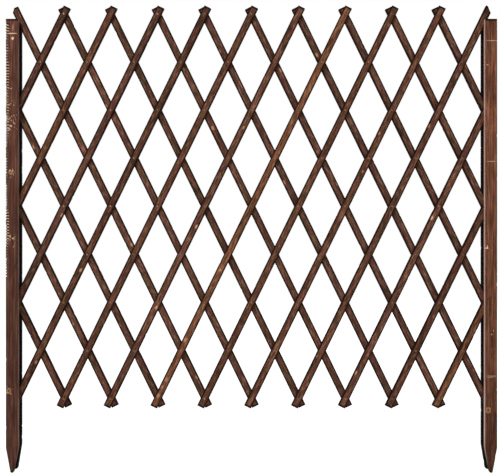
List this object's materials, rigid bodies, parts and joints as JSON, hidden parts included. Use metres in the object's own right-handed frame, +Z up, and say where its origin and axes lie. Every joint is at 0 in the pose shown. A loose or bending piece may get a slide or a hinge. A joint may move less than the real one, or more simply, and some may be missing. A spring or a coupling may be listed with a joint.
{
  "type": "expandable garden fence",
  "caption": "Wooden scissor-lattice fence of crossed riveted slats between two pointed posts; it closes to a narrow bundle and opens to a wider screen.",
  "frame": {"origin": "on the ground plane at the level of the stake tips, midway between the two posts and midway through the depth", "axes": "+X to the right along the fence, +Y to the back, +Z up; the front faces -Y"},
  "size_m": [1.2984, 0.042, 1.2401],
  "materials": {
    "front_slats": "brown stained softwood, matt, visible grain",
    "rear_slats": "brown stained softwood, matt, visible grain",
    "stakes": "red-brown stained softwood, matt, grain along the stake, small knots",
    "spacers": "brown stained softwood, matt",
    "fixings": "zinc plated steel, dulled"
  },
  "bodies": {
    "left_post": {"left_front_stake": "stakes", "left_rear_stake": "stakes", "left_foot_spacer": "spacers", "left_pivot_pin": "fixings", "left_foot_nail_1": "fixings", "left_foot_nail_2": "fixings"},
    "front_slat_01": {"front_slat_01": "front_slats"},
    "front_slat_02": {"front_slat_02": "front_slats"},
    "front_slat_03": {"front_slat_03": "front_slats"},
    "front_slat_04": {"front_slat_04": "front_slats"},
    "front_slat_05": {"front_slat_05": "front_slats"},
    "front_slat_06": {"front_slat_06": "front_slats"},
    "front_slat_07": {"front_slat_07": "front_slats"},
    "front_slat_08": {"front_slat_08": "front_slats"},
    "front_slat_09": {"front_slat_09": "front_slats"},
    "front_slat_10": {"front_slat_10": "front_slats"},
    "front_slat_11": {"front_slat_11": "front_slats"},
    "front_slat_12": {"front_slat_12": "front_slats"},
    "front_slat_13": {"front_slat_13": "front_slats"},
    "rear_slat_01": {"rear_slat_01": "rear_slats"},
    "rear_slat_02": {"rear_slat_02": "rear_slats"},
    "rear_slat_03": {"rear_slat_03": "rear_slats"},
    "rear_slat_04": {"rear_slat_04": "rear_slats"},
    "rear_slat_05": {"rear_slat_05": "rear_slats"},
    "rear_slat_06": {"rear_slat_06": "rear_slats"},
    "rear_slat_07": {"rear_slat_07": "rear_slats"},
    "rear_slat_08": {"rear_slat_08": "rear_slats"},
    "rear_slat_09": {"rear_slat_09": "rear_slats"},
    "rear_slat_10": {"rear_slat_10": "rear_slats"},
    "rear_slat_11": {"rear_slat_11": "rear_slats"},
    "rear_slat_12": {"rear_slat_12": "rear_slats"},
    "rear_slat_13": {"rear_slat_13": "rear_slats"},
    "right_post": {"right_front_stake": "stakes", "right_rear_stake": "stakes", "right_foot_spacer": "spacers", "right_pivot_pin": "fixings", "right_foot_nail_1": "fixings", "right_foot_nail_2": "fixings"}
  },
  "joints": [
    {"name": "fence_extend", "type": "hinge", "parent": "left_post", "child": "rear_slat_02", "pos_m": [-0.62468, 0, 0.705], "axis": [0, -1, 0], "range_deg": [-21.5, 14]},
    {"name": "turn_front_slat_02", "type": "hinge", "parent": "left_post", "child": "front_slat_02", "pos_m": [-0.62468, 0, 0.705], "axis": [0, 1, 0], "range_deg": [-21.5, 14]},
    {"name": "turn_front_slat_03", "type": "hinge", "parent": "rear_slat_02", "child": "front_slat_03", "pos_m": [-0.56221, 0, 0.57692], "axis": [0, 1, 0], "range_deg": [-43, 28]},
    {"name": "turn_front_slat_04", "type": "hinge", "parent": "rear_slat_02", "child": "front_slat_04", "pos_m": [-0.49974, 0, 0.44884], "axis": [0, 1, 0], "range_deg": [-43, 28]},
    {"name": "turn_front_slat_05", "type": "hinge", "parent": "rear_slat_02", "child": "front_slat_05", "pos_m": [-0.43728, 0, 0.32077], "axis": [0, 1, 0], "range_deg": [-43, 28]},
    {"name": "turn_front_slat_06", "type": "hinge", "parent": "rear_slat_02", "child": "front_slat_06", "pos_m": [-0.37481, 0, 0.19269], "axis": [0, 1, 0], "range_deg": [-43, 28]},
    {"name": "turn_rear_slat_03", "type": "hinge", "parent": "front_slat_02", "child": "rear_slat_03", "pos_m": [-0.56221, 0, 0.83308], "axis": [0, -1, 0], "range_deg": [-43, 28]},
    {"name": "turn_rear_slat_04", "type": "hinge", "parent": "front_slat_02", "child": "rear_slat_04", "pos_m": [-0.49974, 0, 0.96116], "axis": [0, -1, 0], "range_deg": [-43, 28]},
    {"name": "turn_rear_slat_05", "type": "hinge", "parent": "front_slat_02", "child": "rear_slat_05", "pos_m": [-0.43728, 0, 1.08923], "axis": [0, -1, 0], "range_deg": [-43, 28]},
    {"name": "turn_rear_slat_06", "type": "hinge", "parent": "front_slat_02", "child": "rear_slat_06", "pos_m": [-0.37481, 0, 1.21731], "axis": [0, -1, 0], "range_deg": [-43, 28]},
    {"name": "turn_front_slat_01", "type": "hinge", "parent": "rear_slat_03", "child": "front_slat_01", "pos_m": [-0.62468, 0, 0.96116], "axis": [0, 1, 0], "range_deg": [-43, 28]},
    {"name": "turn_rear_slat_01", "type": "hinge", "parent": "front_slat_03", "child": "rear_slat_01", "pos_m": [-0.62468, 0, 0.44884], "axis": [0, -1, 0], "range_deg": [-43, 28]},
    {"name": "turn_rear_slat_07", "type": "hinge", "parent": "front_slat_06", "child": "rear_slat_07", "pos_m": [-0.06247, 0, 0.83308], "axis": [0, -1, 0], "range_deg": [-43, 28]},
    {"name": "turn_rear_slat_08", "type": "hinge", "parent": "front_slat_06", "child": "rear_slat_08", "pos_m": [0, 0, 0.96116], "axis": [0, -1, 0], "range_deg": [-43, 28]},
    {"name": "turn_rear_slat_09", "type": "hinge", "parent": "front_slat_06", "child": "rear_slat_09", "pos_m": [0.06247, 0, 1.08923], "axis": [0, -1, 0], "range_deg": [-43, 28]},
    {"name": "turn_rear_slat_10", "type": "hinge", "parent": "front_slat_06", "child": "rear_slat_10", "pos_m": [0.12494, 0, 1.21731], "axis": [0, -1, 0], "range_deg": [-43, 28]},
    {"name": "turn_front_slat_07", "type": "hinge", "parent": "rear_slat_10", "child": "front_slat_07", "pos_m": [0.1874, 0, 1.08923], "axis": [0, 1, 0], "range_deg": [-43, 28]},
    {"name": "turn_front_slat_08", "type": "hinge", "parent": "rear_slat_10", "child": "front_slat_08", "pos_m": [0.24987, 0, 0.96116], "axis": [0, 1, 0], "range_deg": [-43, 28]},
    {"name": "turn_front_slat_09", "type": "hinge", "parent": "rear_slat_10", "child": "front_slat_09", "pos_m": [0.31234, 0, 0.83308], "axis": [0, 1, 0], "range_deg": [-43, 28]},
    {"name": "turn_front_slat_10", "type": "hinge", "parent": "rear_slat_10", "child": "front_slat_10", "pos_m": [0.37481, 0, 0.705], "axis": [0, 1, 0], "range_deg": [-43, 28]},
    {"name": "turn_front_slat_11", "type": "hinge", "parent": "rear_slat_10", "child": "front_slat_11", "pos_m": [0.43728, 0, 0.57692], "axis": [0, 1, 0], "range_deg": [-43, 28]},
    {"name": "turn_front_slat_12", "type": "hinge", "parent": "rear_slat_10", "child": "front_slat_12", "pos_m": [0.49974, 0, 0.44884], "axis": [0, 1, 0], "range_deg": [-43, 28]},
    {"name": "turn_front_slat_13", "type": "hinge", "parent": "rear_slat_10", "child": "front_slat_13", "pos_m": [0.56221, 0, 0.32077], "axis": [0, 1, 0], "range_deg": [-43, 28]},
    {"name": "turn_rear_slat_11", "type": "hinge", "parent": "front_slat_10", "child": "rear_slat_11", "pos_m": [0.43728, 0, 0.83308], "axis": [0, -1, 0], "range_deg": [-43, 28]},
    {"name": "turn_rear_slat_12", "type": "hinge", "parent": "front_slat_10", "child": "rear_slat_12", "pos_m": [0.49974, 0, 0.96116], "axis": [0, -1, 0], "range_deg": [-43, 28]},
    {"name": "turn_rear_slat_13", "type": "hinge", "parent": "front_slat_10", "child": "rear_slat_13", "pos_m": [0.56221, 0, 1.08923], "axis": [0, -1, 0], "range_deg": [-43, 28]},
    {"name": "turn_right_post", "type": "hinge", "parent": "front_slat_12", "child": "right_post", "pos_m": [0.62468, 0, 0.705], "axis": [0, -1, 0], "range_deg": [-21.5, 14]}
  ],
  "couplings": [
    {"joint": "turn_front_slat_02", "follows": "fence_extend", "ratio": 1},
    {"joint": "turn_front_slat_03", "follows": "fence_extend", "ratio": 2},
    {"joint": "turn_front_slat_04", "follows": "fence_extend", "ratio": 2},
    {"joint": "turn_front_slat_05", "follows": "fence_extend", "ratio": 2},
    {"joint": "turn_front_slat_06", "follows": "fence_extend", "ratio": 2},
    {"joint": "turn_rear_slat_03", "follows": "fence_extend", "ratio": 2},
    {"joint": "turn_rear_slat_04", "follows": "fence_extend", "ratio": 2},
    {"joint": "turn_rear_slat_05", "follows": "fence_extend", "ratio": 2},
    {"joint": "turn_rear_slat_06", "follows": "fence_extend", "ratio": 2},
    {"joint": "turn_front_slat_01", "follows": "fence_extend", "ratio": 2},
    {"joint": "turn_rear_slat_01", "follows": "fence_extend", "ratio": 2},
    {"joint": "turn_rear_slat_07", "follows": "fence_extend", "ratio": 2},
    {"joint": "turn_rear_slat_08", "follows": "fence_extend", "ratio": 2},
    {"joint": "turn_rear_slat_09", "follows": "fence_extend", "ratio": 2},
    {"joint": "turn_rear_slat_10", "follows": "fence_extend", "ratio": 2},
    {"joint": "turn_front_slat_07", "follows": "fence_extend", "ratio": 2},
    {"joint": "turn_front_slat_08", "follows": "fence_extend", "ratio": 2},
    {"joint": "turn_front_slat_09", "follows": "fence_extend", "ratio": 2},
    {"joint": "turn_front_slat_10", "follows": "fence_extend", "ratio": 2},
    {"joint": "turn_front_slat_11", "follows": "fence_extend", "ratio": 2},
    {"joint": "turn_front_slat_12", "follows": "fence_extend", "ratio": 2},
    {"joint": "turn_front_slat_13", "follows": "fence_extend", "ratio": 2},
    {"joint": "turn_rear_slat_11", "follows": "fence_extend", "ratio": 2},
    {"joint": "turn_rear_slat_12", "follows": "fence_extend", "ratio": 2},
    {"joint": "turn_rear_slat_13", "follows": "fence_extend", "ratio": 2},
    {"joint": "turn_right_post", "follows": "fence_extend", "ratio": 1}
  ]
}
